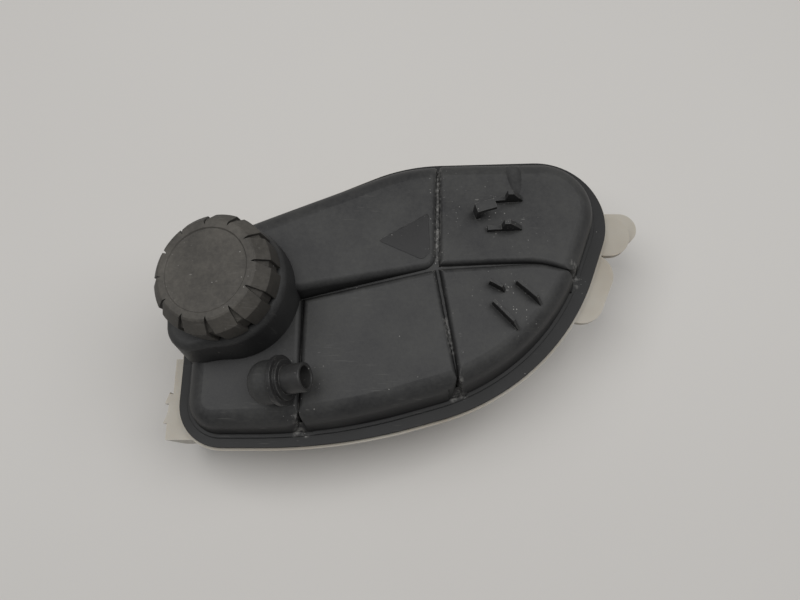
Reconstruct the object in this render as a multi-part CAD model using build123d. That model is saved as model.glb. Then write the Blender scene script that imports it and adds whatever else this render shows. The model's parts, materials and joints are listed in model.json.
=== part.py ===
from build123d import *
import os
from math import cos, radians, sin, tan

# Coolant expansion tank. X runs along the tank, Y from front to back, Z up; the flat base stands on z = 0.

# Tank shells
weld_z = 62.0
outline_corners = [(-134.6, -93.0), (-35, -93.0), (97.4, -56.7), (157, 98.5), (4.1, 93.9), (-134.6, 33)]
outline_radii = [27, 345, 150, 44, 120, 40]
wall = 2.6
upper_flange = 3.0
lower_flange = 3.5
lower_flange_lip = 1.6

# Crowned panels of the upper shell; the side insets run front, front right, right, back, back left, left
dome_insets = [7, 8.5, 9.5, 6, 6, 6.5]
dome_draft = 12.0
dome_edge = 13.0
dome_corner = 18.5
dome_high = 48.0
crown_radius = 1400.0
dome_crown = (10.0, 10.0, 31.0)
neck_crown = (-190.0, 20.0, 45.6)
neck_inset = 0.15
groove_depth = 4.0
groove_side = 2.4
groove_half = 0.8
groove_low = 27.0
groove_draft = 22.0
groove_edge = 3.0
step_draft = 10.0
step_edge = 5.0
step_corner = 9.0
trim_gap = 0.08
root_bead_width = 1.4
root_bead_height = 1.2
groove_cross = (22.5, 12.1)
groove_left = (-58.3, -7.3)
groove_front = (42.6, -110.0)
groove_back = (25.7, 120.0)
groove_bend = (85.0, 16.0)
groove_bend_radius = 45.0
groove_bend_back_radius = 60.0
groove_right = (160.0, -3.6)
air_gap_width = 12.0
air_gap_height = 7.0
gap_span = 10.4
fold_radius = 6.0
fold_gap = 0.4
fold_shift = 0.4
fold_rise = 58.0

# Dent in the back edge of the rear panel
dent_radius = 6.0
dent_back = (71.5, 87.0)
dent_front = (74.0, 60.0)
dent_depth = 4.2

# Tub of the lower shell
tub_insets = [9, 10, 11, 10, 10, 8]
tub_draft = 4.0
tub_edge = 12.0
tub_inner_edge = 6.0
tub_corner = 11.0
baffle = 2.8
floor = 3.0
flow_gap_width = 14.0
flow_gap_height = 10.0

# Filler neck and its collar
neck_seat = (-98.4, -4.8, 53.5)
neck_tilt = 12.0
collar_radius = 36.0
collar_shoulder = (-17.0, -22.5)
collar_shoulder_radius = 15.0
collar_blend = 60.0
collar_draft = 6.0
collar_high = 80.0
collar_edge = 5.0
collar_hollow_z = 20.0
neck_bore = 22.0
neck_outer = 25.8
neck_height = 14.0
neck_dip = 12.0

# Return spigot and its seat
spigot_seat = (-67.0, -58.6, 40.8)
spigot_azimuth = 4.0
spigot_rise = 22.0
spigot_bore = 6.2
spigot_outer = 8.3
spigot_length = 17.0
spigot_ring = 14.2
spigot_ring_thick = 2.6
spigot_step = 11.5
spigot_step_thick = 2.0
spigot_mouth_edge = 0.8
boss_radius = 12.6
boss_length = 17.0
boss_end = 9.0
boss_turn = 9.0
boss_drop = 18.0

# Outlet spigot of the lower shell
outlet_x = 40.0
outlet_z = 20.0
outlet_end_y = 112.0
outlet_outer = 9.5
outlet_bore = 7.0
outlet_bore_run = 40.0
outlet_bead = 10.4
outlet_bead_back = 14.0

# Clips on the upper shell
clip_sink = 2.0
back_clip_height = 11.0
back_clip_thick = 3.0
back_clip_bar = 3.3
back_clip_bar_share = 0.4
back_clip_rise_share = 0.44
back_clip_top_share = 0.6
back_hook_width = 6.0
back_fins = [((57.8, 54.3), (76.5, 55.7)), ((53.6, 34.7), (74.9, 36.1))]
back_hook = ((47.0, 43.0), (58.7, 46.5))
right_fin_height = 7.0
right_fin_thick = 1.8
right_fin_top_share = 0.75
right_fins = [((52.9, 1.0), (62.3, -4.2)), ((69.0, 1.4), (83.6, -11.8)), ((54.3, -11.3), (69.4, -27.4))]

# Fixings of the lower shell
rail_x = -141.5
rail_step = 2.2
rail_front = -88.0
rail_back = -38.0
rail_break = -60.0
rail_low = 18.0
rail_high = 58.0
rail_thick = 2.8
rail_teeth = [-66.0, -78.0]
tooth = 2.4
tooth_length = 7.2
tooth_height = 13.5
ear_centre = (139.8, 46.1)
ear_radius = 14.2
ear_high = 58.0
ear_thick = 5.0
peg_centre = (151.0, 54.0)
peg_ear_radius = 11.0
peg_ear_high = 51.0
peg_radius = 6.0
peg_low = 26.0
peg_chamfer = 1.5
lobe_centre = (121.5, 9.5)
lobe_length = 50.0
lobe_width = 30.0
lobe_turn = 66.0
lobe_thick = 4.0
lobe_web = 18.0

# Level float, dry well and sensor
well_place = (-15.0, -42.0)
well_outer = 6.0
well_bore = 4.0
well_top = 54.0
pocket_radius = 15.0
pocket_height = 20.0
float_outer = 15.0
float_height = 14.0
float_edge = 2.0
float_play = 0.5
float_travel = 14.0
magnet_inner = 8.5
magnet_outer = 11.5
magnet_height = 3.0
stop_radius = 9.0
stop_thick = 1.6
stop_play = 0.4
push_fit = 0.05
sensor_play = 0.3
sensor_head = 9.0
sensor_head_thick = 3.0
plug_x = 16.0
plug_y = 10.0
plug_wall = 1.4
plug_low = 3.0
plug_floor = 4.0
terminal_x = 0.8
terminal_y = 2.8
terminal_length = 8.0
terminal_pitch = 5.0
sensor_ring_major = 7.0
sensor_ring_minor = 0.85
sensor_clip_thick = 1.2
sensor_clip_play = 0.25

# Cap, measured up from the collar along the neck
cap_rim = 1.5
cap_radius = 34.2
cap_side_top = 14.5
cap_top_radius = 28.6
cap_top = 22.0
cap_crown = 0.6
cap_dish_radius = 24.0
cap_dish = 0.8
cap_inner = 28.4
cap_ceiling = 18.6
grip_count = 12
grip_depth = 1.7
grip_notch = 3.6
grip_start = 25.6
grip_turn = 6.0
cap_ring_low = 15.3
cap_ring_thick = 1.2
cap_ring_inner = 25.4
cap_ring_bite = 0.8
cap_ring_play = 0.1

# Valve insert, on the same axis and zero as the cap
insert_head = 27.0
insert_shank = 25.0
insert_play = 0.3
insert_radius = 21.2
insert_inner = 16.4
insert_low = -14.0
seat_thick = 2.5
seat_hole = 8.0
o_ring_minor = 1.6
o_ring_clear = 0.2
o_ring_groove = 3.6
upper_o_ring_z = 5.0
lower_o_ring_z = -7.0
vent_count = 4
vent_z = 8.1
vent_width = 8.0
vent_height = 1.4
cover_step_z = 9.6
cover_radius = 17.4
cover_thick = 2.4
cover_play = 0.2
cover_bead = 0.7
cover_bead_height = 1.0
cover_guide = 7.4
cover_guide_wall = 2.0
cover_guide_length = 4.0

# Pressure and vacuum valves
seal_inner = 7.6
seal_outer = 11.8
seal_thick = 1.3
plate_radius = 12.6
plate_thick = 2.2
plate_lug = 16.0
plate_lug_width = 6.0
plate_lug_count = 3
plate_collar = 6.4
plate_collar_inner = 4.0
plate_collar_height = 1.5
stem_hole = 2.1
spring_radius = 9.0
spring_wire = 0.9
spring_turns = 5.5
spring_play = 0.05
vacuum_disc = 5.0
vacuum_disc_thick = 1.4
vacuum_play = 0.1
stem_radius = 1.6
stem_length = 7.8
keeper_radius = 3.2
keeper_thick = 1.2
keeper_below_top = 0.6
vacuum_spring_radius = 2.7
vacuum_spring_wire = 0.35
vacuum_spring_turns = 4.0

reach = 2 * max(x for x, y in outline_corners)
overlap = 1.0


def outline_face(insets):
    """Tank outline with each side moved inwards by its own inset."""
    count = len(outline_corners)
    sides = []
    for i in range(count):
        start = Vector(*outline_corners[i])
        along = (Vector(*outline_corners[(i + 1) % count]) - start).normalized()
        inward = Vector(-along.Y, along.X)
        sides.append((start + inward * insets[i], along))
    corners = []
    radii = []
    for i in range(count):
        before, along_before = sides[i - 1]
        after, along_after = sides[i]
        gap = after - before
        turn = along_before.X * along_after.Y - along_before.Y * along_after.X
        run = (gap.X * along_after.Y - gap.Y * along_after.X) / turn
        corners.append(before + along_before * run)
        radii.append(outline_radii[i] - (insets[i - 1] + insets[i]) / 2)
    return make_face(FilletPolyline(*corners, radius=radii, close=True))


def even_insets(insets, extra):
    """The same insets, each larger by extra."""
    return [inset + extra for inset in insets]


def chamber_regions():
    """Plan of the five chambers, cut along the grooves and reaching past the outline."""
    left, low = groove_left
    right, back = groove_right[0], groove_back[1]
    front = groove_front[1]
    corners = {
        "end": [(-reach, low), (-reach, front), (left, front), groove_left],
        "middle": [groove_left, (left, front), groove_front, groove_cross],
        "right": [groove_cross, groove_front, (right, front), groove_right, groove_bend],
        "back": [groove_cross, groove_bend, groove_right, (right, back), groove_back],
        "neck": [(-reach, low), groove_left, groove_cross, groove_back, (-reach, back)],
    }
    regions = {}
    for name, points in corners.items():
        bend = groove_bend_back_radius if name == "back" else groove_bend_radius
        radii = [bend if point == groove_bend else 0 for point in points]
        regions[name] = make_face(FilletPolyline(*points, radius=radii, close=True))
    return regions


def drawn_in(face, inset, corner):
    """The face drawn in by the inset and with rounded corners."""
    return offset(offset(face, -(inset + corner)), corner)


def drafted(face, height, angle, neutral):
    """Block with drafted sides that keep the face's size at the neutral height."""
    block = extrude(face, height)
    return draft(block.faces().filter_by(Axis.Z, reverse=True), Plane.XY.offset(neutral), angle)


def pillow(face, height, angle, edge):
    """Drafted block with a rounded upper edge."""
    block = drafted(face, height, angle, 0)
    return fillet(block.edges().group_by(Axis.Z)[-1], edge)


def crown_height(x, y):
    """Height of the dome's crown at a point."""
    centre_x, centre_y, high = dome_crown
    return high - ((x - centre_x) ** 2 + (y - centre_y) ** 2) / (2 * crown_radius)


def puff(block, crown, drop, edge):
    """The block cut off under a crown, lowered by the drop, with a rounded upper edge."""
    x, y, high = crown
    block = block & Pos(x, y, high - drop - crown_radius) * Sphere(crown_radius)
    return fillet(block.faces().sort_by(Axis.Z)[-1].edges(), edge)


def tube(outer, inner, low, high):
    """Tube about Z between two heights."""
    return Pos(0, 0, low) * extrude(Circle(outer) - Circle(inner), high - low)


def rod(radius, low, high):
    """Rod about Z between two heights."""
    return Pos(0, 0, low) * extrude(Circle(radius), high - low)


def coil(radius, wire, turns, low, high):
    """Compression spring about Z that fills the height between its two seats."""
    height = high - low - 2 * wire
    path = Helix(pitch=height / turns, height=height, radius=radius)
    section = Plane(origin=path @ 0, z_dir=path % 0) * Circle(wire)
    return Pos(0, 0, low + wire) * sweep(section, path=path)


def fin(ends, thick, profile):
    """Upright wall from one point to the other; the profile gives distance along it and height."""
    start = Vector(*ends[0])
    along = Vector(*ends[1]) - start
    side = Plane(origin=start, x_dir=along, z_dir=along.cross(Vector(0, 0, 1)))
    return extrude(side * make_face(Polyline(*profile, close=True)), -thick)


def neck_plane():
    """Frame of the filler neck: origin on top of the collar, Z along the neck."""
    x, y, z = neck_seat
    lean = radians(neck_tilt)
    return Plane(origin=(x, y, weld_z + z), x_dir=(cos(lean), 0, sin(lean)), z_dir=(-sin(lean), 0, cos(lean)))


def spigot_plane():
    """Frame of the return spigot: origin on its seat, Z out of its mouth."""
    x, y, z = spigot_seat
    turn = radians(spigot_azimuth)
    rise = radians(spigot_rise)
    axis = (cos(rise) * cos(turn), cos(rise) * sin(turn), sin(rise))
    return Plane(origin=(x, y, weld_z + z), z_dir=axis)


def collar_block(inset):
    """Filler collar down to the weld: a drafted tower with a fuller front left, cut off square to the neck."""
    x, y, z = neck_seat
    grow = z * tan(radians(collar_draft)) - inset
    plan = Circle(collar_radius + grow) + Pos(*collar_shoulder) * Circle(collar_shoulder_radius + grow)
    plan = offset(offset(plan, collar_blend), -collar_blend)
    tower = Pos(x, y, weld_z) * extrude(plan, collar_high, taper=collar_draft)
    below = Box(reach, reach, reach, align=(Align.CENTER, Align.CENTER, Align.MAX))
    return tower & neck_plane().offset(-inset).location * below


def dent(radius):
    """Round tool that dents the back edge of the rear panel."""
    start = Vector(*dent_back, crown_height(*dent_back) + dent_radius - dent_depth)
    end = Vector(*dent_front, crown_height(*dent_front) + dent_radius)
    run = end - start
    return Plane(origin=start - run, z_dir=run) * extrude(Circle(radius), 2 * run.length)


def groove_ends():
    """Outer ends of the grooves on the foot of the dome, each as a frame with X outwards."""
    left, low = groove_left
    runs = [
        ((left, low), (left, groove_front[1])),
        (groove_cross, groove_front),
        (groove_cross, groove_back),
        (groove_bend, groove_right),
    ]
    foot = outline_face(dome_insets).wire()
    frames = []
    for inner, outer in runs:
        line = Line(inner, outer)
        end = line.intersect(foot).vertices()[0]
        frames.append(Plane(origin=(end.X, end.Y, 0), x_dir=line % 0))
    return frames


def fold_notch(frame):
    """Notch that rounds the corners of two panels at the end of their groove, leaning with the wall."""
    deep = fold_radius - fold_shift
    side = fold_radius + fold_gap
    plan = Pos(-deep / 2 + overlap / 2, 0) * Rectangle(deep + overlap, 2 * side)
    for y in (-side, side):
        plan -= Pos(-deep, y) * Circle(fold_radius)
    lean = radians(dome_draft)
    up = frame.z_dir * cos(lean) - frame.x_dir * sin(lean)
    return extrude(frame * plan, dome_high, dir=up)


def fold_web(frame):
    """Sloping web that fills the foot of a notch."""
    profile = [(0, 0), (-fold_radius, 0), (-fold_radius, fold_radius * tan(radians(fold_rise)))]
    web = extrude(Plane.XZ * make_face(Polyline(*profile, close=True)), fold_radius, both=True)
    return Pos(0, 0, upper_flange) * frame.location * web


def upper_panels(regions):
    """Outer form of the upper shell above its flange."""
    flange = extrude(outline_face([0] * 6), upper_flange)
    bead = outline_face(even_insets(dome_insets, -root_bead_width))
    flange += extrude(bead, upper_flange + root_bead_height)

    core = drafted(outline_face(even_insets(dome_insets, groove_side)), dome_high, dome_draft, 0)
    core = puff(core, dome_crown, groove_depth, dome_edge - groove_side)

    form = core
    dome = puff(drafted(outline_face(dome_insets), dome_high, dome_draft, 0), dome_crown, 0, dome_edge)
    for name in ("end", "middle", "right", "back"):
        cell = drafted(offset(regions[name], -groove_half), dome_crown[2] + overlap, groove_draft, groove_low)
        panel = puff(cell, dome_crown, trim_gap, groove_edge) & dome
        form += panel - dent(dent_radius)

    face = drawn_in(regions["neck"], groove_half, step_corner)
    neck_cell = puff(drafted(face, dome_high, step_draft, groove_low), neck_crown, trim_gap, step_edge)
    face = outline_face(even_insets(dome_insets, neck_inset))
    neck_panel = neck_cell & puff(drafted(face, dome_high, dome_draft, 0), neck_crown, 0, dome_edge)
    form += neck_panel
    for end in groove_ends():
        form -= fold_notch(end)
        form += fold_web(end)
    return form + flange


def upper_hollow(regions):
    """Chambers of the upper shell."""
    outline = outline_face(even_insets(dome_insets, wall))
    hollows = []
    for name, region in regions.items():
        crown = neck_crown if name == "neck" else dome_crown
        face = drawn_in(outline & drawn_in(region, groove_half + wall, 0), 0, dome_corner)
        space = puff(drafted(face, dome_high, dome_draft, 0), crown, wall, dome_edge - wall)
        hollows.append(space - dent(dent_radius + wall))
    return hollows


def baffle_gaps(width, height):
    """Blocks that open each baffle wall, standing on z = 0."""
    middle_front = (Vector(*groove_cross) + Vector(*groove_front)) / 2
    middle_back = (Vector(*groove_cross) + Vector(*groove_back)) / 2
    middle_left = (Vector(*groove_cross) + Vector(*groove_left)) / 2
    middle_right = (Vector(*groove_cross) + Vector(*groove_bend)) / 2
    left_wall = Vector(groove_left[0], (groove_left[1] + groove_front[1]) / 2)
    across_x = [middle_front, middle_back, left_wall]
    across_y = [middle_left, middle_right]
    base = (Align.CENTER, Align.CENTER, Align.MIN)
    gaps = [Pos(point.X, point.Y, 0) * Box(gap_span, width, height, align=base) for point in across_x]
    return gaps + [Pos(point.X, point.Y, 0) * Box(width, gap_span, height, align=base) for point in across_y]


def clips():
    """Hose and cable clips that stand on the panels."""
    pieces = []
    high = back_clip_height + clip_sink
    for ends in back_fins:
        long = (Vector(*ends[1]) - Vector(*ends[0])).length
        bar = clip_sink + back_clip_bar
        profile = [
            (0, 0), (long, 0), (long, clip_sink + overlap), (long * back_clip_top_share, high),
            (long * back_clip_rise_share, high), (long * back_clip_bar_share, bar), (0, bar),
        ]
        pieces.append(Pos(0, 0, crown_height(*ends[0]) - clip_sink) * fin(ends, back_clip_thick, profile))
    long = (Vector(*back_hook[1]) - Vector(*back_hook[0])).length
    arm = high - back_clip_thick
    hook = [(0, 0), (back_clip_thick, 0), (back_clip_thick, arm), (long, arm), (long, high), (0, high)]
    hook_z = crown_height(*back_hook[0]) - clip_sink
    pieces.append(Pos(0, 0, hook_z) * fin(back_hook, back_hook_width, hook))
    for ends in right_fins:
        long = (Vector(*ends[1]) - Vector(*ends[0])).length
        top = right_fin_height + clip_sink
        profile = [(0, 0), (long, 0), (long, clip_sink + overlap), (long * right_fin_top_share, top), (0, top)]
        pieces.append(Pos(0, 0, crown_height(*ends[1]) - clip_sink) * fin(ends, right_fin_thick, profile))
    return pieces


def make_upper_shell(regions):
    """Black upper moulding."""
    lift = Pos(0, 0, weld_z)
    neck = neck_plane().location
    spigot = spigot_plane()
    above_weld = lift * extrude(outline_face([overlap] * 6), reach)
    above_baffles = Pos(0, 0, collar_hollow_z) * lift * extrude(outline_face([overlap + wall] * 6), reach)

    shell = lift * upper_panels(regions)
    collar = collar_block(0)
    top = collar.faces().sort_by(Axis(neck_plane().origin, neck_plane().z_dir))[-1]
    shell += fillet(top.edges(), collar_edge) & above_weld
    boss = rod(boss_radius, -boss_length, 0)
    shell += spigot.location * fillet(boss.edges().group_by(Axis.Z)[0], boss_end)
    for clip in clips():
        shell += lift * clip

    for space in upper_hollow(regions):
        shell -= lift * space
    for gap in baffle_gaps(air_gap_width, air_gap_height):
        shell -= lift * gap
    shell -= collar_block(wall) & above_baffles
    shell += neck * rod(neck_outer, -wall, neck_height)
    shell += neck * rod(neck_bore + wall, -neck_dip, 0)
    shell -= neck * rod(neck_bore, -neck_dip - overlap, neck_height + overlap)
    shell -= spigot.location * rod(spigot_bore, -boss_turn, overlap)
    elbow = spigot.origin - spigot.z_dir * boss_turn
    shell -= Pos(*elbow) * rod(spigot_bore, -boss_drop, 0)
    return shell


def make_side_rail():
    """Stepped rail on the left of the tub, with its latch teeth."""
    tub_x = outline_corners[0][0] + tub_insets[5] + 2 * wall
    high = rail_high - rail_low
    base = (Align.MIN, Align.MIN, Align.MIN)
    front_x = rail_x - rail_step
    rail = Pos(rail_x, rail_break, rail_low) * Box(rail_thick, rail_back - rail_break, high, align=base)
    rail += Pos(front_x, rail_front, rail_low) * Box(
        rail_thick + rail_step, rail_break - rail_front, high, align=base
    )
    rail += Pos(rail_x, rail_front, rail_high - rail_thick) * Box(
        tub_x - rail_x, rail_back - rail_front, rail_thick, align=base
    )
    for y in (rail_front, rail_break, rail_back - rail_thick):
        rail += Pos(rail_x, y, rail_low) * Box(tub_x - rail_x, rail_thick, high, align=base)
    for y in rail_teeth:
        ramp = make_face(Polyline((0, 0), (0, tooth_length), (-tooth, 0), close=True))
        rail += Pos(front_x, y, rail_high - tooth_height) * extrude(ramp, tooth_height)
    return rail


def make_ears():
    """Round ears on the right, the lower one with a peg, and the lobe below them."""
    tub_x = outline_face(tub_insets).bounding_box().max.X - 2 * wall
    ears = None
    for (x, y), radius, high in (
        (ear_centre, ear_radius, ear_high),
        (peg_centre, peg_ear_radius, peg_ear_high),
    ):
        plate = Pos(x, y, 0) * Circle(radius) + Pos((x + tub_x) / 2, y, 0) * Rectangle(x - tub_x, 2 * radius)
        plate = Pos(0, 0, high - ear_thick) * extrude(plate, ear_thick)
        ears = plate if ears is None else ears + plate
    x, y = peg_centre
    peg = Pos(x, y, 0) * rod(peg_radius, peg_low, peg_ear_high - ear_thick)
    ears += chamfer(peg.edges().group_by(Axis.Z)[0], peg_chamfer)
    lobe = Pos(*lobe_centre) * Rot(0, 0, lobe_turn) * SlotOverall(lobe_length, lobe_width)
    ears += Pos(0, 0, weld_z - lower_flange - lobe_thick) * extrude(lobe, lobe_thick)
    web = Pos(*lobe_centre) * Rot(0, 0, lobe_turn) * Rectangle(wall, lobe_width)
    ears += Pos(0, 0, weld_z - lower_flange - lobe_web) * extrude(web, lobe_web)
    return ears


def make_lower_shell(regions):
    """Pale lower moulding."""
    lift = Pos(0, 0, weld_z)
    outline = outline_face(tub_insets)
    tub = mirror(pillow(outline, weld_z, tub_draft, tub_edge), about=Plane.XY)
    flange = extrude(outline_face([-lower_flange_lip] * 6), -lower_flange)
    shell = lift * (tub + flange)
    shell += make_side_rail()
    shell += make_ears()
    outlet = Pos(outlet_x, 0, outlet_z) * Rot(-90, 0, 0)
    shell += outlet * rod(outlet_outer, 0, outlet_end_y)
    bead = outlet_bead - outlet_outer
    shell += outlet * Pos(0, 0, outlet_end_y - outlet_bead_back) * Torus(outlet_outer - bead, 2 * bead)

    inner = outline_face(even_insets(tub_insets, wall - baffle / 2))
    for region in regions.values():
        face = drawn_in(inner & region, baffle / 2, tub_corner)
        space = pillow(face, weld_z - floor, tub_draft, tub_inner_edge)
        shell -= lift * mirror(space, about=Plane.XY)
    for gap in baffle_gaps(flow_gap_width, flow_gap_height):
        shell -= Pos(0, 0, floor) * gap
    shell -= outlet * rod(outlet_bore, outline_corners[4][1] - outlet_bore_run, outlet_end_y + overlap)

    well = Pos(*well_place)
    shell += well * rod(pocket_radius + wall, 0, pocket_height + wall)
    shell += well * rod(well_outer, pocket_height, well_top)
    shell -= well * rod(pocket_radius, -overlap, pocket_height)
    shell -= well * rod(well_bore, pocket_height - overlap, well_top - wall)
    return shell


def make_return_spigot():
    """Hose spigot with its double ring."""
    body = rod(spigot_ring, 0, spigot_ring_thick)
    body += rod(spigot_step, 0, spigot_ring_thick + spigot_step_thick)
    body += rod(spigot_outer, 0, spigot_length)
    body -= rod(spigot_bore, -overlap, spigot_length + overlap)
    rim = body.edges().filter_by(GeomType.CIRCLE).group_by(Axis.Z)[-1]
    body = fillet(rim, spigot_mouth_edge)
    return spigot_plane().location * body


def make_cap_shell():
    """Screw cap with grip lands round its side and bevel."""
    profile = Polyline(
        (0, cap_rim), (cap_radius, cap_rim), (cap_radius, cap_side_top), (cap_top_radius, cap_top - cap_crown),
        (cap_top_radius - 2 * cap_crown, cap_top), (cap_dish_radius, cap_top),
        (cap_dish_radius - cap_dish, cap_top - cap_dish), (0, cap_top - cap_dish), close=True,
    )
    section = make_face(profile)
    lands = revolve(Plane.XZ * section, Axis.Z)
    out = cap_radius + overlap
    wedge = make_face(Polyline((grip_start, 0), (out, -grip_notch), (out, grip_notch / 2), close=True))
    notch = extrude(wedge, 2 * cap_top)
    for i in range(grip_count):
        lands -= Rot(0, 0, grip_turn + i * 360 / grip_count) * notch
    cap = revolve(Plane.XZ * offset(section, -grip_depth), Axis.Z) + lands
    cap -= rod(cap_inner, 0, cap_ceiling)
    cap -= rod(
        cap_inner + cap_ring_bite + cap_ring_play,
        cap_ring_low - cap_ring_play,
        cap_ring_low + cap_ring_thick + cap_ring_play,
    )
    return cap


def make_valve_insert():
    """Sleeve with its head, O-ring grooves, valve seat and cover seat."""
    head_low = cap_ring_low + cap_ring_thick + insert_play
    head_top = cap_ceiling - insert_play
    bead_low = cover_step_z + cover_thick + cover_play
    cover_bore = cover_radius + cover_play
    profile = Polyline(
        (seat_hole, insert_low), (insert_radius, insert_low), (insert_radius, neck_height),
        (insert_shank, neck_height), (insert_shank, head_low), (insert_head, head_low), (insert_head, head_top),
        (cover_bore, head_top), (cover_bore, bead_low + cover_bead_height), (cover_bore - cover_bead, bead_low),
        (cover_bore, bead_low), (cover_bore, cover_step_z), (insert_inner, cover_step_z),
        (insert_inner, insert_low + seat_thick), (seat_hole, insert_low + seat_thick), close=True,
    )
    insert = revolve(Plane.XZ * make_face(profile), Axis.Z)
    root = neck_bore - o_ring_clear - 2 * o_ring_minor
    for z in (upper_o_ring_z, lower_o_ring_z):
        insert -= tube(insert_radius + overlap, root, z - o_ring_groove / 2, z + o_ring_groove / 2)
    for i in range(vent_count):
        turn = Rot(0, 0, i * 360 / vent_count)
        slot = Box(insert_radius, vent_width, vent_height, align=(Align.MIN, Align.CENTER, Align.CENTER))
        insert -= turn * Pos(insert_inner - overlap, 0, vent_z) * slot
    return insert


def make_o_ring(z):
    """Seal in one groove of the insert."""
    return Pos(0, 0, z) * Torus(neck_bore - o_ring_clear - o_ring_minor, o_ring_minor)


def make_spring_cover():
    """Disc that backs the pressure spring, with a guide inside the coil."""
    cover = rod(cover_radius, cover_step_z, cover_step_z + cover_thick)
    return cover + tube(cover_guide, cover_guide - cover_guide_wall, cover_step_z - cover_guide_length, cover_step_z)


def make_pressure_plate(low, high):
    """Valve plate with guide lugs and a collar inside the spring."""
    plate = Circle(plate_radius)
    for i in range(plate_lug_count):
        plate += Rot(0, 0, i * 360 / plate_lug_count) * Pos(plate_lug / 2, 0) * Rectangle(plate_lug, plate_lug_width)
    plate = plate & Circle(plate_lug)
    body = Pos(0, 0, low) * extrude(plate, high - low)
    body += rod(plate_collar, low, high + plate_collar_height)
    body -= rod(plate_collar_inner, high, high + plate_collar_height + overlap)
    return body - rod(stem_hole, low - overlap, high + overlap)


def make_level_float(low):
    """Ring float with the groove of its magnet."""
    ring = tube(float_outer, well_outer + float_play, low, low + float_height)
    ring = fillet(ring.edges().filter_by(GeomType.CIRCLE).sort_by(SortBy.RADIUS)[-2:], float_edge)
    top = low + float_height
    return ring - tube(magnet_outer, magnet_inner, top - magnet_height, top + overlap)


def make_sensor_body():
    """Reed probe with its head and plug shroud."""
    top = pocket_height
    head_low = top - sensor_head_thick
    body = rod(well_bore - sensor_play, head_low, well_top - wall - sensor_play)
    body += rod(sensor_head, head_low, top)
    shroud = Pos(0, 0, plug_low) * extrude(RectangleRounded(plug_x, plug_y, plug_wall), head_low - plug_low)
    inside_high = head_low - plug_floor
    hole = RectangleRounded(plug_x - 2 * plug_wall, plug_y - 2 * plug_wall, plug_wall / 2)
    body += shroud
    body -= Pos(0, 0, plug_low - overlap) * extrude(hole, inside_high - plug_low + overlap)
    groove = 2 * sensor_ring_minor + sensor_clip_play
    body -= tube(
        sensor_ring_major + groove / 2, sensor_ring_major - groove / 2, top - 2 * sensor_ring_minor, top + overlap
    )
    return body


def make_sensor_terminals():
    """Two flat blades in the plug shroud."""
    high = pocket_height - sensor_head_thick - plug_floor
    blade = Box(terminal_x, terminal_y, terminal_length, align=(Align.CENTER, Align.CENTER, Align.MAX))
    return Pos(-terminal_pitch / 2, 0, high) * blade + Pos(terminal_pitch / 2, 0, high) * blade


def make_sensor_clip():
    """Push-in ring that holds the sensor's head in its pocket."""
    high = pocket_height - sensor_head_thick
    hole = RectangleRounded(plug_x + 2 * sensor_clip_play, plug_y + 2 * sensor_clip_play, plug_wall)
    ring = Circle(pocket_radius - push_fit) - hole
    return Pos(0, 0, high - sensor_clip_thick) * extrude(ring, sensor_clip_thick)


def make_parts():
    """All pieces of the tank by name."""
    regions = chamber_regions()
    neck = neck_plane().location
    well = Pos(*well_place)
    seal_low = insert_low + seat_thick
    plate_low = seal_low + seal_thick
    plate_high = plate_low + plate_thick
    disc_high = plate_low - vacuum_play
    stem_top = disc_high + stem_length
    keeper_high = stem_top - keeper_below_top
    keeper_low = keeper_high - keeper_thick
    float_low = pocket_height + wall
    magnet_low = float_low + float_height - magnet_height
    stop_low = float_low + float_height + float_travel + stop_play
    sensor_ring_z = pocket_height - sensor_ring_minor
    vacuum_valve = rod(vacuum_disc, disc_high - vacuum_disc_thick, disc_high) + rod(stem_radius, disc_high, stem_top)
    return {
        "upper_shell": make_upper_shell(regions),
        "lower_shell": make_lower_shell(regions),
        "return_spigot": make_return_spigot(),
        "cap_shell": neck * make_cap_shell(),
        "cap_ring": neck * tube(
            cap_inner + cap_ring_bite, cap_ring_inner, cap_ring_low, cap_ring_low + cap_ring_thick
        ),
        "valve_insert": neck * make_valve_insert(),
        "upper_o_ring": neck * make_o_ring(upper_o_ring_z),
        "lower_o_ring": neck * make_o_ring(lower_o_ring_z),
        "spring_cover": neck * make_spring_cover(),
        "pressure_spring": neck * coil(
            spring_radius, spring_wire, spring_turns, plate_high + spring_play, cover_step_z - spring_play
        ),
        "pressure_plate": neck * make_pressure_plate(plate_low, plate_high),
        "pressure_seal": neck * tube(seal_outer, seal_inner, seal_low, plate_low),
        "vacuum_valve": neck * vacuum_valve,
        "vacuum_spring": neck * coil(
            vacuum_spring_radius,
            vacuum_spring_wire,
            vacuum_spring_turns,
            plate_high + spring_play,
            keeper_low - spring_play,
        ),
        "vacuum_keeper": neck * tube(keeper_radius, stem_radius + push_fit, keeper_low, keeper_high),
        "level_float": well * make_level_float(float_low),
        "float_magnet": well * tube(
            magnet_outer - push_fit, magnet_inner + push_fit, magnet_low, magnet_low + magnet_height
        ),
        "float_stop": well * tube(stop_radius, well_outer + push_fit, stop_low, stop_low + stop_thick),
        "sensor_body": well * make_sensor_body(),
        "sensor_terminals": well * make_sensor_terminals(),
        "sensor_o_ring": well * Pos(0, 0, sensor_ring_z) * Torus(sensor_ring_major, sensor_ring_minor),
        "sensor_clip": well * make_sensor_clip(),
    }


def main():
    os.makedirs("parts", exist_ok=True)
    for name, piece in make_parts().items():
        export_step(piece, f"parts/{name}.step")


main()
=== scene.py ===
# %% [markdown]
# A car's coolant expansion tank lies on a pale table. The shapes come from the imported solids, which stay
# where they are. This file lights them, gives each plastic its own finish, and adds the fine forms that a
# mould or a thread leaves.

# %% Load the frame
import json
import math

import bmesh
import bpy
from mathutils import Matrix, Vector


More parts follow.
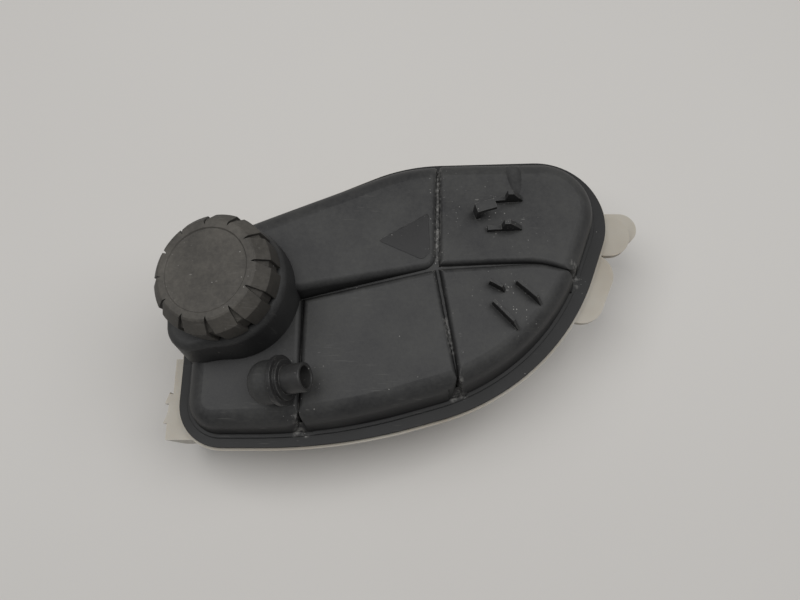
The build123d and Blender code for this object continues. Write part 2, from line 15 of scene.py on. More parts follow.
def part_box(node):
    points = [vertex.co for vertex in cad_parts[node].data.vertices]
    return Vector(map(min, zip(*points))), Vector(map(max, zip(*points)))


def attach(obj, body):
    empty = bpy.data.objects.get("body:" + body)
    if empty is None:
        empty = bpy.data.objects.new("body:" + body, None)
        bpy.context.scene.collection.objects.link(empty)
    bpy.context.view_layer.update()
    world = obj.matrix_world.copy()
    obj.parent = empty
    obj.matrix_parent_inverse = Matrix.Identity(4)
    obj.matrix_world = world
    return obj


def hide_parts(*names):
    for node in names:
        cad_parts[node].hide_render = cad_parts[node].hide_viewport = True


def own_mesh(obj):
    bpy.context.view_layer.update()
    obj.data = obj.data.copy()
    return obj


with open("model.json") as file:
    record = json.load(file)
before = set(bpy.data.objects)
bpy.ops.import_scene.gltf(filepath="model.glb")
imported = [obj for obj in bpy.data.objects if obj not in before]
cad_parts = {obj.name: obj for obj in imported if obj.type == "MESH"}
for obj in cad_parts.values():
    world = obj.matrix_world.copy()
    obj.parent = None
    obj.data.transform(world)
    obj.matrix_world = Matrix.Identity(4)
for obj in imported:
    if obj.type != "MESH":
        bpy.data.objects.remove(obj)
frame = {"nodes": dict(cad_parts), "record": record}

mm = 0.001
nodes = frame["nodes"]
record = frame["record"]
scene = bpy.context.scene
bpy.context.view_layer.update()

# %% [markdown]
# Colours are easiest to name as the hex values that a screen shows. Blender's sockets want linear light, so
# one function turns the one into the other.

# %% Colour helper


def linear(code):
    """Linear RGBA of an sRGB hex colour."""
    channels = [int(code[i:i + 2], 16) / 255 for i in (1, 3, 5)]
    return [c / 12.92 if c <= 0.04045 else ((c + 0.055) / 1.055) ** 2.4 for c in channels] + [1.0]


print("mid grey in linear light:", round(linear("#808080")[0], 3))

# %% [markdown]
# Every finish below is a small node tree. One function adds a node: keyword settings go on the node, and the
# inputs are either plain values or the outputs of other nodes, which it links. A mix node keeps a set of
# sockets for each kind of data, so the places of its two colours and of its result get names here.

# %% Node helper
first_colour = 6
second_colour = 7
mixed_colour = 2


def add(tree, kind, inputs=None, **settings):
    """New node with its settings and inputs; an input that is a socket is linked, any other is a value."""
    node = tree.nodes.new(kind)
    for name, value in settings.items():
        setattr(node, name, value)
    for key, value in (inputs or {}).items():
        if isinstance(value, bpy.types.NodeSocket):
            tree.links.new(value, node.inputs[key])
        else:
            node.inputs[key].default_value = value
    return node


def new_finish(name):
    """New material and its node tree, which is still empty."""
    material = bpy.data.materials.new(name)
    material.use_nodes = True
    material.node_tree.nodes.clear()
    return material, material.node_tree


def show(tree, shader):
    """Adds the material's output and links a shader to it."""
    add(tree, "ShaderNodeOutputMaterial", {"Surface": shader.outputs[0]})


print("helpers ready: linear, add, new_finish, show")

# %% [markdown]
# The camera looks steeply down on the front of the tank, as a phone held over a table does. The view was
# worked out from the outlines of cap, collar and flange: 74 degrees above the table, 400 mm from the plane
# where the shells meet.

# %% Camera
weld_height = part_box("upper_shell")[0].z
view_rise = math.radians(73.7)
view_distance = 400 * mm
camera_data = bpy.data.cameras.new("phone_camera")
camera_data.sensor_width = 36.0
camera_data.lens = 27.9
camera_data.clip_start = 10 * mm
camera = bpy.data.objects.new("phone_camera", camera_data)
back = Vector((0, -math.cos(view_rise), math.sin(view_rise)))
camera.location = Vector((0, 0, weld_height)) + back * view_distance
camera.rotation_euler = (math.pi / 2 - view_rise, 0, 0)
scene.collection.objects.link(camera)
scene.camera = camera
print("camera at", [round(v, 4) for v in camera.location])

# %% [markdown]
# The table is one sheet of pale matt board. It needs only a little mottling, so that it doesn't look like a
# flat fill.

# %% Pale table
table_size = 6.0
mottle_size = 400 * mm
half = table_size / 2
table_corners = [(-half, -half, 0), (half, -half, 0), (half, half, 0), (-half, half, 0)]
table_mesh = bpy.data.meshes.new("table")
table_mesh.from_pydata(table_corners, [], [(0, 1, 2, 3)])
table = bpy.data.objects.new("table", table_mesh)
scene.collection.objects.link(table)

board, tree = new_finish("painted_board")
place = add(tree, "ShaderNodeTexCoord").outputs["Object"]
cloud = add(tree, "ShaderNodeTexNoise", {"Vector": place, "Scale": 1 / mottle_size, "Detail": 3.0})
tint = add(
    tree, "ShaderNodeMix",
    {0: cloud.outputs["Fac"], first_colour: linear("#d3d1cd"), second_colour: linear("#cecbc7")},
    data_type="RGBA",
).outputs[mixed_colour]
show(tree, add(tree, "ShaderNodeBsdfPrincipled", {"Base Color": tint, "Roughness": 0.8}))
table_mesh.materials.append(board)
print("table", table_size, "m wide")

# %% [markdown]
# The light of a bright room comes mostly from above: two wide panels over the table, left and right, and
# only a little from all round. So faces that look up are bright, and upright faces get little more than what
# the table throws back. Large lamps give the soft shadow that the tank has on the table.

# %% Soft room light
panel_back = 0.2
panel_height = 1.6
panel_size = 1.2
tank_middle = Vector((0, 0, 60 * mm))


def panel_lamp(name, x, power):
    """Square lamp over the table that faces the tank."""
    lamp_data = bpy.data.lights.new(name, "AREA")
    lamp_data.shape = "SQUARE"
    lamp_data.size = panel_size
    lamp_data.energy = power
    lamp = bpy.data.objects.new(name, lamp_data)
    lamp_place = Vector((x, panel_back, panel_height))
    lamp.location = lamp_place
    lamp.rotation_euler = (tank_middle - lamp_place).to_track_quat("-Z", "Y").to_euler()
    scene.collection.objects.link(lamp)


panel_lamp("left_ceiling_panel", -0.65, 13.5)
panel_lamp("right_ceiling_panel", 0.75, 13.0)
world = bpy.data.worlds.new("cloudy_room")
scene.world = world
world.use_nodes = True
sky = world.node_tree.nodes["Background"]
sky.inputs["Color"].default_value = linear("#f6f6f8")
sky.inputs["Strength"].default_value = 0.17
scene.view_settings.view_transform = "Standard"

# %% [markdown]
# All the black plastics wear in the same few ways: pale specks, short fine scratches, and edges rubbed grey.
# A painted texture could show them, but the solids would have to be unwrapped for it. Here each kind is a
# mask instead, a number from 0 to 1 that is worked out at each point in space. Two functions join masks, and
# a third gives the mask of a place on the tank: the room around a line.

# %% Joining and placing masks
core_share = 0.25


def times(tree, *masks):
    """Product of several masks or numbers."""
    total = masks[0]
    for mask in masks[1:]:
        total = add(tree, "ShaderNodeMath", {0: total, 1: mask}, operation="MULTIPLY").outputs[0]
    return total


def most(tree, masks):
    """Largest of several masks."""
    total = masks[0]
    for mask in masks[1:]:
        total = add(tree, "ShaderNodeMath", {0: total, 1: mask}, operation="MAXIMUM").outputs[0]
    return total


def near(tree, place, start, end, radius):
    """Mask that is 1 close to the line from start to end and falls to 0 at the radius."""
    run = end - start
    step = add(tree, "ShaderNodeVectorMath", {0: place, 1: start}, operation="SUBTRACT").outputs[0]
    along = add(tree, "ShaderNodeVectorMath", {0: step, 1: run}, operation="DOT_PRODUCT").outputs["Value"]
    share = add(
        tree, "ShaderNodeMath", {0: along, 1: 1 / run.length_squared}, operation="MULTIPLY", use_clamp=True
    ).outputs[0]
    foot = add(tree, "ShaderNodeVectorMath", {0: run, "Scale": share}, operation="SCALE").outputs[0]
    far = add(tree, "ShaderNodeVectorMath", {0: step, 1: foot}, operation="DISTANCE").outputs["Value"]
    return add(
        tree, "ShaderNodeMapRange", {"Value": far, "From Min": radius, "From Max": core_share * radius}
    ).outputs[0]


print("masks ready: times, most, near")

# %% [markdown]
# A speck is at most about a millimetre across. A Voronoi pattern cuts space into cells and gives each its own
# random colour, which here decides whether the cell holds a speck and how large it is. Scratches come from a
# noise that is stretched one way, so that only thin lines of it stand out.

# %% Specks and scratches
speck_blur = 0.3
scratch_length = 16 * mm
scratch_width = 0.8 * mm
scratch_patch = 3 * scratch_length


def specks(tree, place, spacing, share, radius):
    """Mask of ragged specks: a share of the cells of a Voronoi pattern hold one, each of its own size."""
    noise = add(tree, "ShaderNodeTexNoise", {"Vector": place, "Scale": 1 / radius, "Detail": 1.0})
    ragged = add(
        tree, "ShaderNodeVectorMath",
        {0: noise.outputs["Color"], 1: (radius, radius, radius), 2: place}, operation="MULTIPLY_ADD",
    ).outputs[0]
    cells = add(tree, "ShaderNodeTexVoronoi", {"Vector": ragged, "Scale": 1 / spacing})
    draw = add(tree, "ShaderNodeSeparateColor", {0: cells.outputs["Color"]})
    size = times(tree, draw.outputs[1], radius / spacing)
    inside = add(
        tree, "ShaderNodeMath", {0: size, 1: cells.outputs["Distance"]}, operation="SUBTRACT"
    ).outputs[0]
    blur = speck_blur * radius / spacing
    dot = add(tree, "ShaderNodeMapRange", {"Value": inside, "From Min": 0.0, "From Max": blur}).outputs[0]
    chosen = add(
        tree, "ShaderNodeMath", {0: draw.outputs[0], 1: 1 - share}, operation="GREATER_THAN"
    ).outputs[0]
    return times(tree, dot, chosen)


def scratches(tree, place, turn):
    """Mask of short scratches that run along one direction in plan, in loose patches."""
    stretch = (1 / scratch_length, 1 / scratch_width, 1 / scratch_length)
    run = add(
        tree, "ShaderNodeMapping", {"Vector": place, "Rotation": (0, 0, turn), "Scale": stretch}
    ).outputs[0]
    lines = add(tree, "ShaderNodeTexNoise", {"Vector": run, "Scale": 1.0, "Detail": 1.0}).outputs["Fac"]
    thin = add(tree, "ShaderNodeMapRange", {"Value": lines, "From Min": 0.7, "From Max": 0.8}).outputs[0]
    cloud = add(tree, "ShaderNodeTexNoise", {"Vector": place, "Scale": 1 / scratch_patch, "Detail": 2.0})
    here = add(
        tree, "ShaderNodeMapRange", {"Value": cloud.outputs["Fac"], "From Min": 0.5, "From Max": 0.62}
    ).outputs[0]
    return times(tree, thin, here)


print("masks ready: specks, scratches of", round(scratch_length / mm), "mm")

# %% [markdown]
# A moulded edge is never quite sharp. The bevel node gives a normal that is rounded over near an edge, with
# no new faces. Where that normal leaves the plain one there is an edge, so it serves as a mask as well. Noise
# breaks the mask up, because an edge isn't rubbed evenly.

# %% Soft and rubbed edges
edge_round = 0.7 * mm
rub_patch = 4 * mm


def soft_edges(tree, place):
    """Normal that rounds off sharp edges, and a broken mask of those edges."""
    soft = add(tree, "ShaderNodeBevel", {"Radius": edge_round}, samples=6).outputs[0]
    plain = add(tree, "ShaderNodeNewGeometry").outputs["Normal"]
    same = add(tree, "ShaderNodeVectorMath", {0: soft, 1: plain}, operation="DOT_PRODUCT").outputs["Value"]
    edge = add(tree, "ShaderNodeMapRange", {"Value": same, "From Min": 0.98, "From Max": 0.86}).outputs[0]
    cloud = add(tree, "ShaderNodeTexNoise", {"Vector": place, "Scale": 1 / rub_patch, "Detail": 3.0})
    broken = add(
        tree, "ShaderNodeMapRange", {"Value": cloud.outputs["Fac"], "From Min": 0.38, "From Max": 0.62}
    ).outputs[0]
    return soft, times(tree, edge, broken)


print("edges rounded by", round(edge_round / mm, 1), "mm")

# %% [markdown]
# A grey film of dust lies on what faces up, thicker in some patches. Two noises, one of broad clouds and one
# of fine grains, keep it from looking sprayed on. Creases are painted darker, as painted shade: ambient
# occlusion tells how closed in a point is, and there the plastic's colour is darkened and the film thinned.
# The narrow flange at the foot is painted darker too: partly painted shade under the dome, partly because the
# film hardly reaches it.

# %% Dust film and painted shade
film_patch = 30 * mm
film_grain = 2.4 * mm
grain_weight = 0.5
# Painted shade in creases: how far ambient occlusion looks, and how dark the plastic is painted in a crease.
crease_shade_reach = 9 * mm
painted_crease_shade_tone = 0.15
# At the foot the plastic is painted darker: partly painted shade under the dome, partly a thinner film.
foot_shade_and_film_fade = 5 * mm
foot_shade_and_film_share = 0.3
upright_film = 0.25


def film_pattern(tree, place):
    """Broad clouds and fine grains of a dust film, added up."""
    cloud = add(
        tree, "ShaderNodeTexNoise",
        {"Vector": place, "Scale": 1 / film_patch, "Detail": 5.0, "Roughness": 0.6},
    )
    fine = add(
        tree, "ShaderNodeTexNoise",
        {"Vector": place, "Scale": 1 / film_grain, "Detail": 3.0, "Roughness": 0.7},
    )
    return add(
        tree, "ShaderNodeMath",
        {0: fine.outputs["Fac"], 1: grain_weight, 2: cloud.outputs["Fac"]}, operation="MULTIPLY_ADD",
    ).outputs[0]


def free_of_painted_shade(tree, place, foot):
    """Mask against painted shade: 1 in the open, falling to 0 in a crease; lower below the foot, if there is
    one.
    """
    # Ambient occlusion drives painted shade: a closed-in point is painted darker and gets less film.
    opened = add(tree, "ShaderNodeAmbientOcclusion", {"Distance": crease_shade_reach}, samples=6).outputs["AO"]
    clear = add(tree, "ShaderNodeMapRange", {"Value": opened, "From Min": 0.05, "From Max": 0.75}).outputs[0]
    if foot is None:
        return clear
    # Below the foot, painted shade and a thinner film.
    high = add(tree, "ShaderNodeSeparateXYZ", {0: place}).outputs["Z"]
    above = add(
        tree, "ShaderNodeMapRange",
        {"Value": high, "From Min": foot, "From Max": foot + foot_shade_and_film_fade, "To Min": foot_shade_and_film_share, "To Max": 1.0},
    ).outputs[0]
    return times(tree, clear, above)


def dusty_plastic_with_painted_shade(tree, place, pattern, body, film, film_share, foot):
    """Colour of plastic with a dust film on it and painted shade in its creases and at its foot."""
    dust = add(tree, "ShaderNodeMapRange", {"Value": pattern, "From Min": 0.5, "From Max": 1.0}).outputs[0]
    normal = add(tree, "ShaderNodeNewGeometry").outputs["Normal"]
    up = add(tree, "ShaderNodeSeparateXYZ", {0: normal}).outputs["Z"]
    lies = add(
        tree, "ShaderNodeMapRange",
        {"Value": up, "From Min": 0.3, "From Max": 0.97, "To Min": upright_film, "To Max": film_share},
    ).outputs[0]
    clear = free_of_painted_shade(tree, place, foot)
    plain = linear(body)
    # Painted shade: the colour the plastic is darkened to in a deep crease.
    painted_shade_colour = [painted_crease_shade_tone * c for c in plain[:3]] + [1.0]
    body_with_painted_shade = add(
        tree, "ShaderNodeMix", {0: clear, first_colour: painted_shade_colour, second_colour: plain}, data_type="RGBA"
    ).outputs[mixed_colour]
    return add(
        tree, "ShaderNodeMix",
        {0: times(tree, dust, lies, clear), first_colour: body_with_painted_shade, second_colour: linear(film)},
        data_type="RGBA",
    ).outputs[mixed_colour]


print("film in patches of", round(film_patch / mm), "mm")

# %% [markdown]
# The marks of wear lie over the film. Fine scratches and a few loose specks are everywhere. Nicks, rubbed
# edges and dense specks keep to the places that get knocked. Plastic that was bent turns pale, in frayed
# lines that are the same at every height, so those are placed in plan.

# %% Marks of wear
speck_radius = 0.45 * mm
dense_spacing = 2.0 * mm
loose_spacing = 6 * mm
loose_share = 0.35
nick_radius = 0.5 * mm
nick_spacing = 2.2 * mm
nick_stretch = (0.3, 1, 1)
scratch_turns = (14, 71, 128)
fray_size = 2.2 * mm


def whitened(tree, place, pale_lines):
    """Frayed mask of lines in plan."""
    plan = add(tree, "ShaderNodeVectorMath", {0: place, 1: (1, 1, 0)}, operation="MULTIPLY").outputs[0]
    pale = most(tree, [near(tree, plan, start, end, radius) for start, end, radius in pale_lines])
    noise = add(tree, "ShaderNodeTexNoise", {"Vector": place, "Scale": 1 / fray_size, "Detail": 3.0})
    frayed = add(
        tree, "ShaderNodeMapRange", {"Value": noise.outputs["Fac"], "From Min": 0.42, "From Max": 0.66}
    ).outputs[0]
    return times(tree, pale, frayed)


def wear_marks(tree, place, rubbed, worn_lines, speck_share, pale_lines):
    """Marks in the order in which they lie on each other: the mask of each, its strength and its tone."""
    worn = most(tree, [near(tree, place, start, end, radius) for start, end, radius in worn_lines])
    dense = times(tree, specks(tree, place, dense_spacing, speck_share, speck_radius), worn)
    loose = specks(tree, place, loose_spacing, loose_share, speck_radius)
    drawn_out = add(tree, "ShaderNodeMapping", {"Vector": place, "Scale": nick_stretch}).outputs[0]
    nicks = times(tree, specks(tree, drawn_out, nick_spacing, speck_share, nick_radius), worn)
    fine_lines = most(tree, [scratches(tree, place, math.radians(turn)) for turn in scratch_turns])
    marks = [
        (fine_lines, 0.16, "#8a8884"),
        (nicks, 0.4, "#93918d"),
        (times(tree, rubbed, worn), 0.55, "#9c9a96"),
        (most(tree, [dense, loose]), 0.5, "#c0beb9"),
    ]
    if pale_lines:
        marks.append((whitened(tree, place, pale_lines), 0.42, "#a5a39f"))
    return marks


print("scratches run at", scratch_turns, "degrees")

# %% [markdown]
# Black plastic from a spark-eroded mould has a dull grain of about 0.3 mm. That is below one pixel here, so
# it is drawn at 1.1 mm. It is a bump and not real relief, which would take millions of faces. The film also
# dulls the gloss, so the same pattern drives the roughness.

# %% Black moulded plastic
drawn_grain = 1.1 * mm
plastic_ior = 1.49
plastic_shine = 0.3


def moulded_black(
    name, body, film, film_share, rough, grain_depth, worn_lines, speck_share, foot=None, pale_lines=()
):
    """Black moulding: a dust film, painted shade in creases, marks of wear and a grain."""
    material, tree = new_finish(name)
    place = add(tree, "ShaderNodeTexCoord").outputs["Object"]
    soft, rubbed = soft_edges(tree, place)
    pattern = film_pattern(tree, place)
    base = dusty_plastic_with_painted_shade(tree, place, pattern, body, film, film_share, foot)
    for mask, share, tone in wear_marks(tree, place, rubbed, worn_lines, speck_share, pale_lines):
        base = add(
            tree, "ShaderNodeMix",
            {0: times(tree, mask, share), first_colour: base, second_colour: linear(tone)}, data_type="RGBA",
        ).outputs[mixed_colour]
    pits = add(tree, "ShaderNodeTexNoise", {"Vector": place, "Scale": 1 / drawn_grain, "Detail": 2.0})
    bump = add(
        tree, "ShaderNodeBump",
        {"Height": pits.outputs["Fac"], "Strength": 0.5, "Distance": grain_depth, "Normal": soft},
    ).outputs[0]
    glossy, dusty = rough - 0.08, rough + 0.12
    dull = add(
        tree, "ShaderNodeMapRange",
        {"Value": pattern, "From Min": 0.45, "From Max": 1.05, "To Min": glossy, "To Max": dusty},
    ).outputs[0]
    show(tree, add(
        tree, "ShaderNodeBsdfPrincipled",
        {
            "Base Color": base, "Roughness": dull, "IOR": plastic_ior, "Specular IOR Level": plastic_shine,
            "Normal": bump,
        },
    ))
    return material


print("grain drawn at", round(drawn_grain / mm, 1), "mm")

# %% [markdown]
# The upper shell is black polypropylene. It is worn along its creases, round the clips and the spigot, and at
# the folds where the creases run out at the rim. It has also turned pale along two creases and at the
# folds, where each crease ends in a small fork.

# %% Black polypropylene
# Below this height the shell is painted darker: partly as shade under the dome, partly for a thinner film.
shell_shaded_foot = weld_height + 3.4 * mm
stem_reach = 2.4 * mm
branch_reach = 2.2 * mm


def spot(x, y, z=0):
    """Point in millimetres."""
    return Vector((x, y, z)) * mm


def fork(stem, split, *tips):
    """Pale lines of a crease's end: a stem, and a branch to each tip."""
    branches = [(spot(*split), spot(*tip), branch_reach) for tip in tips]
    return [(spot(*stem), spot(*split), stem_reach)] + branches


shell_wear = {
    "back_crease": (spot(22.5, 12, 90), spot(25.5, 92, 90), 9 * mm),
    "back_clip": (spot(50, 50, 96), spot(76, 40, 96), 24 * mm),
    "right_clip": (spot(56, 0, 94), spot(76, -18, 94), 20 * mm),
    "spigot_seat": (spot(-64, -72, 96), spot(-56, -50, 90), 18 * mm),
    "left_fold": (spot(-58.3, -84, 66), spot(-58.3, -84, 72), 8 * mm),
    "front_fold": (spot(36.1, -61, 66), spot(35.8, -58, 72), 8 * mm),
    "right_fold": (spot(116, 9, 66), spot(114, 9, 72), 8 * mm),
    "front_crease": (spot(23, 12, 92), spot(36, -50, 90), 5 * mm),
}
fold_lines = [
    (spot(22.8, 18), spot(24.6, 88), 2.4 * mm),
    (spot(26.5, -20), spot(30.5, -40), 2.0 * mm),
    *fork((-59.9, -77), (-59.9, -82), (-63.2, -85.5), (-56.4, -85.5)),
    *fork((35.0, -56), (35.6, -61), (32.4, -64.6), (39.4, -63.2)),
    *fork((105.4, 16.4), (110.4, 12.4), (114.6, 13.6), (113.8, 8.4)),
]
black_polypropylene = moulded_black(
    "moulded_black_polypropylene", body="#29292a", film="#5d5d5a", film_share=0.4, rough=0.5,
    grain_depth=0.10 * mm, worn_lines=shell_wear.values(), speck_share=0.55,
    foot=shell_shaded_foot, pale_lines=fold_lines,
)
print("finish:", black_polypropylene.name, "worn at:", ", ".join(shell_wear))

# %% [markdown]
# The cap is glass-filled nylon. Hands and dust have filled its grain, so it is a little browner and duller
# than the shell. The spigot is nylon too, cleaner and glossier.

# %% Black nylon of the cap and the spigot
cap_wear = [(spot(-104, -5, 138), spot(-102, -5, 138), 42 * mm)]
cap_nylon = moulded_black(
    "moulded_glass_filled_nylon", body="#363431", film="#716d66", film_share=0.55, rough=0.6,
    grain_depth=0.12 * mm, worn_lines=cap_wear, speck_share=0.15,
)
spigot_wear = [(spot(-67, -59, 103), spot(-52, -57, 109), 18 * mm)]
spigot_nylon = moulded_black(
    "moulded_black_nylon", body="#252526", film="#5f5e5b", film_share=0.25, rough=0.36,
    grain_depth=0.05 * mm, worn_lines=spigot_wear, speck_share=0.25,
)
print("finishes:", cap_nylon.name, spigot_nylon.name)

# %% [markdown]
# The tub is natural polypropylene, moulded without colour: milky, slightly yellow with age, and a little
# light passes through it. Some subsurface light gives that milkiness.

# %% Natural polypropylene
stain_patch = 60 * mm
ripple_size = 5 * mm
ripple_depth = 0.15 * mm
light_reach = 4 * mm
natural_polypropylene, tree = new_finish("moulded_natural_polypropylene")
place = add(tree, "ShaderNodeTexCoord").outputs["Object"]
stain = add(tree, "ShaderNodeTexNoise", {"Vector": place, "Scale": 1 / stain_patch, "Detail": 4.0})
fade = add(
    tree, "ShaderNodeMapRange", {"Value": stain.outputs["Fac"], "From Min": 0.35, "From Max": 0.7}
).outputs[0]
milk = add(
    tree, "ShaderNodeMix",
    {0: fade, first_colour: linear("#b0aba0"), second_colour: linear("#9d9587")}, data_type="RGBA",
).outputs[mixed_colour]
ripple = add(tree, "ShaderNodeTexNoise", {"Vector": place, "Scale": 1 / ripple_size, "Detail": 2.0})
bump = add(
    tree, "ShaderNodeBump", {"Height": ripple.outputs["Fac"], "Strength": 0.3, "Distance": ripple_depth}
).outputs[0]
show(tree, add(
    tree, "ShaderNodeBsdfPrincipled",
    {
        "Base Color": milk, "Roughness": 0.42, "IOR": plastic_ior, "Normal": bump,
        "Subsurface Weight": 0.35, "Subsurface Radius": (1.0, 0.85, 0.65), "Subsurface Scale": light_reach,
    },
))
print("finish:", natural_polypropylene.name)

# %% [markdown]
# The small pieces inside: rubber seals, drawn spring wire, a sintered magnet, tinned blades and plain moulded
# plastics. One function serves them all, because they differ only in colour, gloss and the size of their
# grain. Metals and plastics share an IOR of 1.5, which is Blender's own start value.

# %% Finishes of the inner pieces


def plain_finish(name, dark, light, rough, metal, patch, grain, depth):
    """Two-tone finish with a grain; the sizes of its patches, its grain and its depth are in millimetres."""
    material, tree = new_finish(name)
    place = add(tree, "ShaderNodeTexCoord").outputs["Object"]
    cloud = add(tree, "ShaderNodeTexNoise", {"Vector": place, "Scale": 1 / (patch * mm), "Detail": 4.0})
    shade = cloud.outputs["Fac"]
    tone = add(
        tree, "ShaderNodeMix",
        {0: shade, first_colour: linear(dark), second_colour: linear(light)}, data_type="RGBA",
    ).outputs[mixed_colour]
    dull = add(
        tree, "ShaderNodeMapRange", {"Value": shade, "To Min": rough - 0.08, "To Max": rough + 0.08}
    ).outputs[0]
    pits = add(tree, "ShaderNodeTexNoise", {"Vector": place, "Scale": 1 / (grain * mm), "Detail": 2.0})
    bump = add(
        tree, "ShaderNodeBump", {"Height": pits.outputs["Fac"], "Strength": 0.4, "Distance": depth * mm}
    ).outputs[0]
    show(tree, add(
        tree, "ShaderNodeBsdfPrincipled",
        {"Base Color": tone, "Roughness": dull, "Metallic": metal, "IOR": 1.5, "Normal": bump},
    ))
    return material


inner_finishes = {
    "valve_plastic": plain_finish("moulded_black_acetal", "#2b2b2d", "#38383a", 0.42, 0.0, 6, 0.8, 0.03),
    "seal_rubber": plain_finish("moulded_epdm_rubber", "#1c1c1d", "#29292a", 0.62, 0.0, 5, 0.6, 0.04),
    "spring_steel": plain_finish("drawn_spring_wire", "#a4a4a6", "#c2c2c4", 0.3, 1.0, 3, 0.4, 0.01),
    "float_plastic": plain_finish("foamed_polypropylene", "#cfccc3", "#dedbd2", 0.6, 0.0, 5, 0.9, 0.06),
    "magnet_ferrite": plain_finish("sintered_ferrite", "#3a3a3c", "#4b4b4e", 0.55, 0.0, 2, 0.5, 0.03),
    "sensor_plastic": plain_finish("moulded_black_polyester", "#2a2a2c", "#363638", 0.4, 0.0, 6, 0.8, 0.03),
    "tinned_brass": plain_finish("tin_plated_brass", "#c9c6bd", "#dcd9d0", 0.28, 1.0, 2, 0.5, 0.01),
}
print("inner finishes:", len(inner_finishes))

# %% [markdown]
# Each solid now takes the finish of its slot in the record.

# %% Dress the solids
finishes = {
    "black_polypropylene": black_polypropylene,
    "natural_polypropylene": natural_polypropylene,
    "spigot_nylon": spigot_nylon,
    "cap_plastic": cap_nylon,
    **inner_finishes,
}
for entry in record["subparts"]:
    mesh = nodes[entry["node"]].data
    mesh.materials.clear()
    mesh.materials.append(finishes[entry["material_slot"]])
print("dressed:", len(record["subparts"]), "solids in", len(finishes), "finishes")

# %% [markdown]
# The screw thread is too fine for the solids, so it is built here: a ridge with a sloping section, carried
# round the neck on a helix. The record's joint gives the axis, and its coupling gives the lead, the rise in
# one turn. The cap's own thread lies half a lead higher, so the two stay clear of each other however far the
# cap is turned.

# %% Screw threads
cap_turn = next(joint for joint in record["behaviour"]["joints"] if joint["name"] == "cap_turn")
lead = record["behaviour"]["couplings"][0]["ratio"] * 2 * math.pi
neck_up = Vector(cap_turn["axis"])
neck_side = Vector((0, 1, 0)).cross(neck_up).normalized()
neck_frame = Matrix((neck_side, neck_up.cross(neck_side), neck_up)).transposed().to_4x4()
neck_frame.translation = Vector(cap_turn["pos_m"])
steps_per_turn = 64
ridge_foot = 2.6 * mm
ridge_crest = 1.0 * mm
end_share = 0.15
end_slope = 8


def add_piece(name, builder, material, body):
    """New object from a finished bmesh, which rides on a body."""
    bmesh.ops.recalc_face_normals(builder, faces=builder.faces)
    mesh = bpy.data.meshes.new(name)
    builder.to_mesh(mesh)
    builder.free()
    mesh.materials.append(material)
    piece = bpy.data.objects.new(name, mesh)
    scene.collection.objects.link(piece)
    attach(piece, body)


def thread(root, crest, start, turns):
    """Ridge on a helix about the neck: radii of its root and crest, height of its start, number of turns."""
    builder = bmesh.new()
    count = round(steps_per_turn * turns)
    rings = []
    for i in range(count + 1):
        turn = 2 * math.pi * turns * i / count
        run_out = min(1.0, end_share + end_slope * min(i, count - i) / count)
        tip = root + (crest - root) * run_out
        section = ((root, -ridge_foot), (tip, -ridge_crest), (tip, ridge_crest), (root, ridge_foot))
        ring = []
        for radius, height in section:
            rise = start + lead * turn / (2 * math.pi) + height / 2
            point = Vector((radius * math.cos(turn), radius * math.sin(turn), rise))
            ring.append(builder.verts.new(neck_frame @ point))
        rings.append(ring)
    for before, after in zip(rings, rings[1:]):
        for k in range(len(before)):
            builder.faces.new((before[k - 1], before[k], after[k], after[k - 1]))
    builder.faces.new(rings[0])
    builder.faces.new(rings[-1])
    return builder


neck_start = 3.0 * mm
neck_thread = thread(root=25.7 * mm, crest=27.6 * mm, start=neck_start, turns=1.5)
add_piece("neck_thread", neck_thread, black_polypropylene, "tank")
cap_thread = thread(root=28.5 * mm, crest=26.6 * mm, start=neck_start + lead / 2, turns=1.0)
add_piece("cap_thread", cap_thread, cap_nylon, "cap")
print("threads with a lead of", round(lead / mm, 2), "mm")

# %% [markdown]
# The two valve springs shorten when their valves open. A imported solid is rigid, so a copy of each spring's
# mesh takes its place, and the share of its length that it would keep at the full travel of its valve is
# worked out.

# %% Copies of the springs


def giving_spring(node, name, body):
    """Copy of a spring on a body; returns the share of length it would keep at the full travel of its joint.
    """
    solid = nodes[node]
    joint, given = next(
        (joint, given)
        for joint in record["behaviour"]["joints"]
        for given in joint.get("deforming_nodes", [])
        if given["node"] == node
    )
    spring = bpy.data.objects.new(name, solid.data.copy())
    spring.matrix_world = solid.matrix_world.copy()
    scene.collection.objects.link(spring)
    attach(spring, body)
    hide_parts(node)
    points = [solid.matrix_world @ vertex.co for vertex in solid.data.vertices]
    middle = sum(points, Vector()) / len(points)
    heights = [neck_up.dot(point - middle) for point in points]
    ends = [middle + neck_up * height for height in (min(heights), max(heights))]
    keep = 1 - joint["range_m"][1] / (ends[1] - ends[0]).length
    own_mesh(spring)
    return keep


for node, name, body in (
    ("pressure_spring", "pressure_coil", "cap_insert"),
    ("vacuum_spring", "vacuum_coil", "pressure_valve"),
):
    print(name, "keeps", round(giving_spring(node, name, body), 2), "of its length")

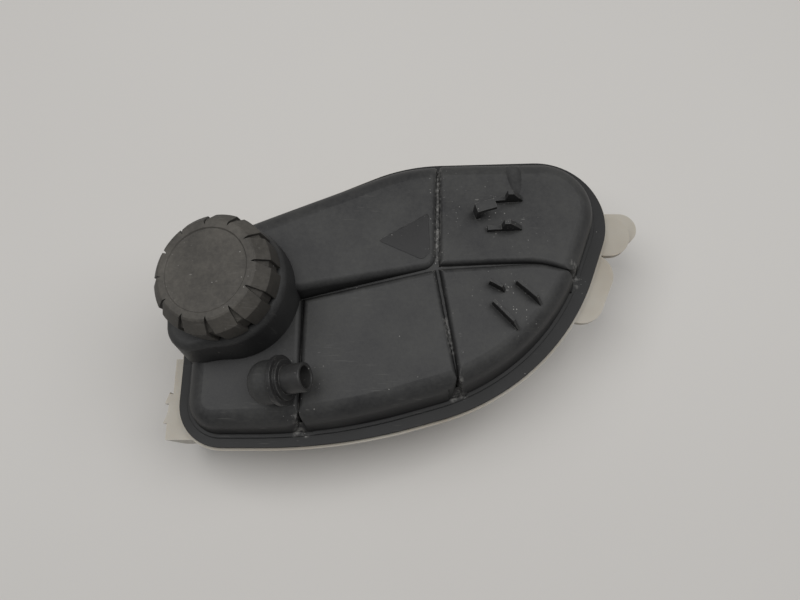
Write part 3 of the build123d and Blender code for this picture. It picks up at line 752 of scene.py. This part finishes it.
# %% [markdown]
# A blank label of black film sticks to the neck panel. Its outline is a few points with rounded corners, each
# a short curve that starts and ends on the two sides.

# %% Outline of the label
label_corners = [(-13.5, 27.4), (17.6, 47.6), (18.4, 21.4), (13.6, 16.4)]
label_round = 2.6 * mm


def rounded(corners, radius, steps=6):
    """Outline with each corner replaced by a short curve."""
    points = [Vector((x * mm, y * mm)) for x, y in corners]
    outline = []
    for i, corner in enumerate(points):
        before = corner + (points[i - 1] - corner).normalized() * radius
        after = corner + (points[(i + 1) % len(points)] - corner).normalized() * radius
        for k in range(steps + 1):
            t = k / steps
            outline.append(before * (1 - t) ** 2 + corner * 2 * t * (1 - t) + after * t ** 2)
    return outline


label_outline = rounded(label_corners, label_round)
print("label of", len(label_outline), "outline points")

# %% [markdown]
# The film follows the crown of the panel. Rays cast straight down find the panel under each point of the
# outline and of smaller copies of it, and the rings of points are joined. The rim reaches a little into the
# panel, so that no gap shows under the film.

# %% Blank label
label_rings = (1.0, 0.7, 0.4, 0.12)
film_lift = 0.18 * mm
ray_height = 1.0
label_middle = sum(label_outline, Vector((0, 0))) / len(label_outline)
shell = nodes["upper_shell"]
builder = bmesh.new()
loops = []
for share, lift in [(label_rings[0], -film_lift)] + [(share, film_lift) for share in label_rings]:
    loop = []
    for point in label_outline:
        x, y = label_middle + (point - label_middle) * share
        surface = shell.ray_cast(Vector((x, y, ray_height)), Vector((0, 0, -1)))[1]
        loop.append(builder.verts.new((x, y, surface.z + lift)))
    loops.append(loop)
for low, high in zip(loops, loops[1:]):
    for k in range(len(low)):
        builder.faces.new((low[k], low[k - 1], high[k - 1], high[k]))
builder.faces.new(loops[-1])
label_wear = [
    (spot(-13, 27, 96), spot(18, 47, 96), 5 * mm),
    (spot(18, 46, 96), spot(18, 20, 96), 5 * mm),
]
label_film = moulded_black(
    "calendered_vinyl_film", body="#1c1c1d", film="#504f4d", film_share=0.25, rough=0.42,
    grain_depth=0.02 * mm, worn_lines=label_wear, speck_share=0.5,
)
add_piece("blank_label", builder, label_film, "tank")
print("label in", len(loops), "rings of points")
